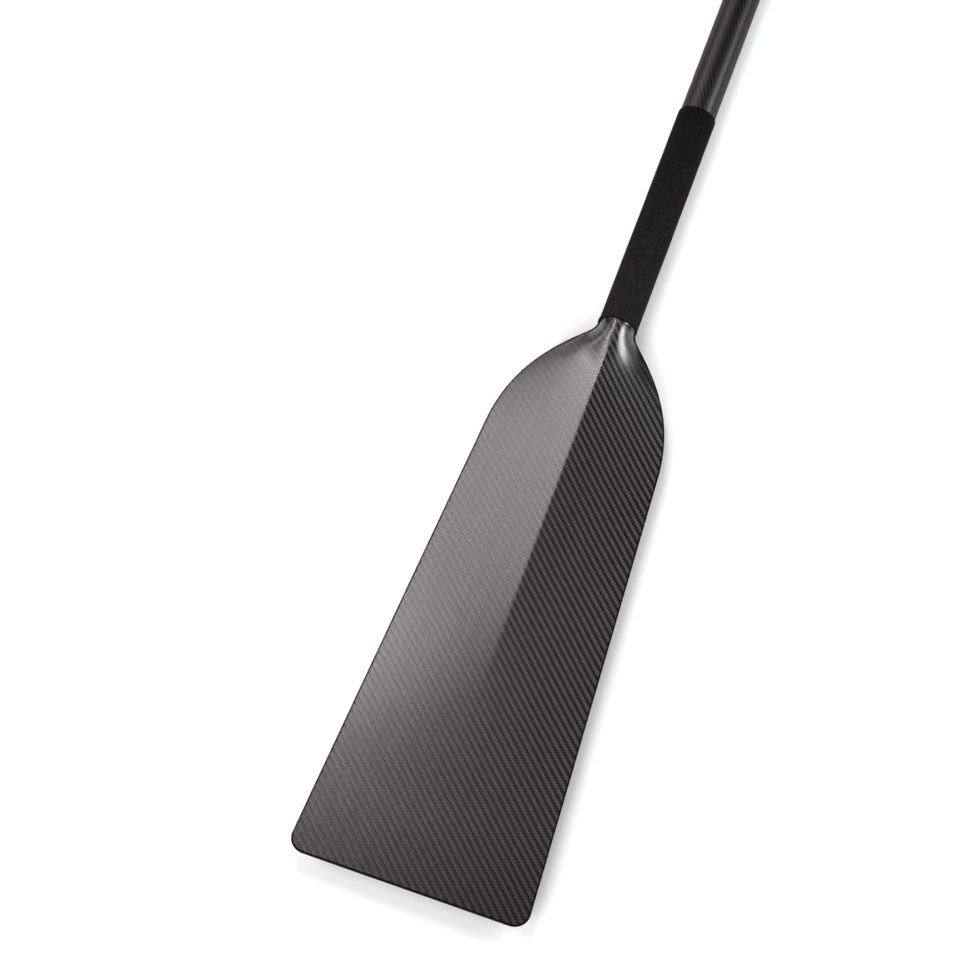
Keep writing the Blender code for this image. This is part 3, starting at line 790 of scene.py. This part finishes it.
# ---------------------------------------------------------------- the pieces
def build():
    blade_mat = carbon("twill_blade", "blade")
    shaft_mat = carbon("twill_shaft", "shaft", coat_rough=0.34, coat=0.35, rim=0.15, gain=0.70,
                       tow=SHAFT_TOW)
    handle_mat = carbon("twill_handle", "handle", coat_rough=0.30, coat=0.6, rim=0.5, gain=0.8)
    edge_mat = edge_resin()
    rubber_mat = rubber()
    plain_mat = plain_carbon()
    foam_mat = foam()

    made = [
        (make_skin("blade_face_front_laminate", 1.0, blade_mat), "blade_front_skin", "carbon_twill"),
        (make_skin("blade_face_back_laminate", -1.0, blade_mat), "blade_back_skin", "carbon_twill"),
        (make_rail(edge_mat), "blade_edge_rail", "edge_black"),
    ]

    y0, y1 = SOCKET_END + 0.1, HANDLE_Y - 0.12
    ys = [y0] + spread(y0, y1 - 0.15, 24)
    profile = [(SHAFT_R, y) for y in ys] + [(SHAFT_R - 0.12, y1), (SHAFT_R - WALL, y1),
                                            (SHAFT_R - WALL, y0)]
    made.append((turned("shaft_wall", profile, 112, shaft_mat), "shaft_tube", "carbon_twill"))

    # sleeve: rounded rims and a surface that isn't perfectly even
    y0, y1 = SLEEVE
    ri = SHAFT_R + 0.04
    low, top = 0.45, 0.95
    profile = [(ri, y1)]
    for i in range(9):
        a = math.radians(90.0 - 90.0 * i / 8)
        profile.append((SLEEVE_R - top * (1.0 - math.cos(a)), y1 - top * (1.0 - math.sin(a))))
    profile += [(SLEEVE_R, y) for y in spread(y1 - top, y0 + low, 100)]
    for i in range(1, 7):
        a = math.radians(90.0 * i / 6)
        profile.append((SLEEVE_R - low * (1.0 - math.cos(a)), y0 + low * (1.0 - math.sin(a))))
    profile.append((ri, y0))

    def wobble(a, y, r):
        if r < SHAFT_R + 0.2:
            return 0.0
        lip = math.exp(-((y - SLEEVE[0]) / 3.2) ** 2)
        lip *= 0.12 + 0.55 * max(0.0, -math.cos(a)) ** 3 + 0.10 * max(0.0, math.cos(a)) ** 3
        return lip + (0.030 * math.sin(3.0 * a + 0.045 * y) + 0.025 * math.sin(2.0 * a - 0.11 * y + 1.0)
                + 0.020 * math.sin(0.21 * y + 0.6 * math.sin(a)))

    made.append((turned("lower_hand_sleeve", profile, 128, rubber_mat, wobble), "grip_sleeve",
                 "grip_rubber"))

    data = smoothed_handle(3)
    made.append((make_handle_shell("handle_half_front", 1.0, data, handle_mat),
                 "handle_front_shell", "carbon_twill"))
    made.append((make_handle_shell("handle_half_back", -1.0, data, handle_mat),
                 "handle_back_shell", "carbon_twill"))

    for ob, node, slot in made:
        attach(ob, BODY)
        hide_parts(node)

    inner = {"blade_core_left": foam_mat, "blade_core_right": foam_mat, "neck_plug": foam_mat,
             "shaft_top_plug": foam_mat, "handle_core": foam_mat, "blade_spine": plain_mat,
             "neck_ferrule": plain_mat, "handle_tenon": plain_mat}
    for node, mat in inner.items():
        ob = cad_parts[node]
        if ob.material_slots:
            ob.material_slots[0].material = mat
        else:
            ob.data.materials.append(mat)


# ---------------------------------------------------------------- floor, light, camera
def add_floor():
    mesh = bpy.data.meshes.new("floor")
    r = 40.0
    mesh.from_pydata([(-r, -r, 0.0), (r, -r, 0.0), (r, r, 0.0), (-r, r, 0.0)], [], [(0, 1, 2, 3)])
    mat, k, bsdf = new_material("floor_white")
    bsdf.inputs["Base Color"].default_value = (0.850, 0.864, 0.862, 1.0)
    bsdf.inputs["Roughness"].default_value = 1.0
    bsdf.inputs["Specular IOR Level"].default_value = 0.0
    mesh.materials.append(mat)
    ob = bpy.data.objects.new("floor", mesh)
    bpy.context.scene.collection.objects.link(ob)


def add_panel(name, centre, aim, size_x, size_y, power, glossy=True, colour=(1.0, 1.0, 1.0),
              up=Vector((0.0, 1.0, 0.0))):
    """Rectangular light facing a point."""
    data = bpy.data.lights.new(name, "AREA")
    data.shape = "RECTANGLE"
    data.size, data.size_y = size_x, size_y
    data.energy = power
    data.color = colour
    ob = bpy.data.objects.new(name, data)
    bpy.context.scene.collection.objects.link(ob)
    back = (Vector(centre) - Vector(aim)).normalized()
    side = up.cross(back).normalized()
    top = back.cross(side)
    m = Matrix((side, top, back)).transposed().to_4x4()
    m.translation = Vector(centre)
    ob.matrix_world = m
    ob.visible_camera = False
    ob.visible_glossy = glossy
    return ob


WARM = (1.075, 1.0, 1.012)
FILL_NEAR = 88.0
FILL_TOP = 4.0
FILL_LEFT = 15.0
UP = Vector((0.0, 0.0, 1.0))


def add_overhead(name, centre, size_x, size_y, brightness, along=Vector((0.0, 1.0, 0.0)), height=1.5):
    """Level panel above the floor, shining straight down; size_y lies along the given way."""
    add_panel(name, (*centre, height), (*centre, 0.0), size_x, size_y,
              math.pi * size_x * size_y * brightness, colour=WARM, up=along)


def add_lights():
    # long narrow softbox over the left side of the blade, running off to the far left
    add_overhead("strip_left", (-1.02, 0.847), 0.092, 2.20, 39.0, Vector((-0.672, 0.741, 0.0)))
    # dimmer diffusers around it
    add_overhead("diffuser_far_left", (-3.30, 2.45), 2.40, 1.90, 4.9)
    add_overhead("diffuser_far", (-1.075, 2.85), 0.75, 1.10, 11.7)
    add_overhead("diffuser_near_left", (-2.225, -0.85), 1.55, 0.70, 8.7)
    add_overhead("diffuser_middle", (-0.025, 0.475), 0.15, 0.25, 3.3)
    # panel on the right, it draws the streak on the neck
    add_panel("panel_right", (1.0145, 0.5528, 0.7063), (0.3751, 0.0532, 0.1218), 0.43, 0.60,
              math.pi * 0.43 * 0.60 * 23.5, up=Vector((-0.4606, -0.3598, 0.8114)))
    # dim wall behind the camera
    add_panel("wall_near", (0.0, -3.4, 0.8), (0.0, 0.0, 0.0), 3.0, 1.5, math.pi * 4.5 * 1.55, up=UP)
    # light that only brightens the floor and the dull parts, it isn't mirrored
    add_panel("fill_near", (-0.45, -2.6, 1.6), (0.0, 0.0, 0.0), 2.5, 1.6, FILL_NEAR, glossy=False,
              up=UP)
    add_panel("fill_top", (0.3, 0.0, 3.2), (0.0, 0.0, 0.0), 4.0, 4.0, FILL_TOP, glossy=False)
    add_panel("fill_left", (-2.6, 0.0, 1.8), (0.0, 0.0, 0.0), 2.5, 1.6, FILL_LEFT, glossy=False,
              up=UP)
    world = bpy.data.worlds.new("studio")
    bpy.context.scene.world = world
    world.use_nodes = True
    k = Nodes(world.node_tree)
    background = world.node_tree.nodes["Background"]
    path = world.node_tree.nodes.new("ShaderNodeLightPath")
    k.put(background, "Color", k.mix_colour(path.outputs["Is Camera Ray"],
                                            (0.0, 0.0, 0.0, 1.0), (1.0, 1.0, 1.0, 1.0)))
    background.inputs["Strength"].default_value = 1.0


def add_camera():
    data = bpy.data.cameras.new("photo_view")
    data.sensor_width = 36.0
    data.sensor_fit = "HORIZONTAL"
    data.lens = 125.521
    data.clip_start, data.clip_end = 0.05, 200.0
    cam = bpy.data.objects.new("photo_view", data)
    bpy.context.scene.collection.objects.link(cam)
    right = Vector((0.94306592, 0.32601838, 0.06586863))
    down = Vector((0.31975272, -0.83414465, -0.44940061))
    ahead = Vector((-0.09156889, 0.44487607, -0.89089866))
    m = Matrix((right, -down, -ahead)).transposed().to_4x4()
    m.translation = Vector((0.17317542, -1.41251661, 2.24563107))
    cam.matrix_world = m
    bpy.context.scene.camera = cam


build()
add_floor()
add_lights()
add_camera()
bpy.context.scene.view_settings.view_transform = "Standard"
bpy.context.scene.view_settings.look = "None"
bpy.context.view_layer.update()
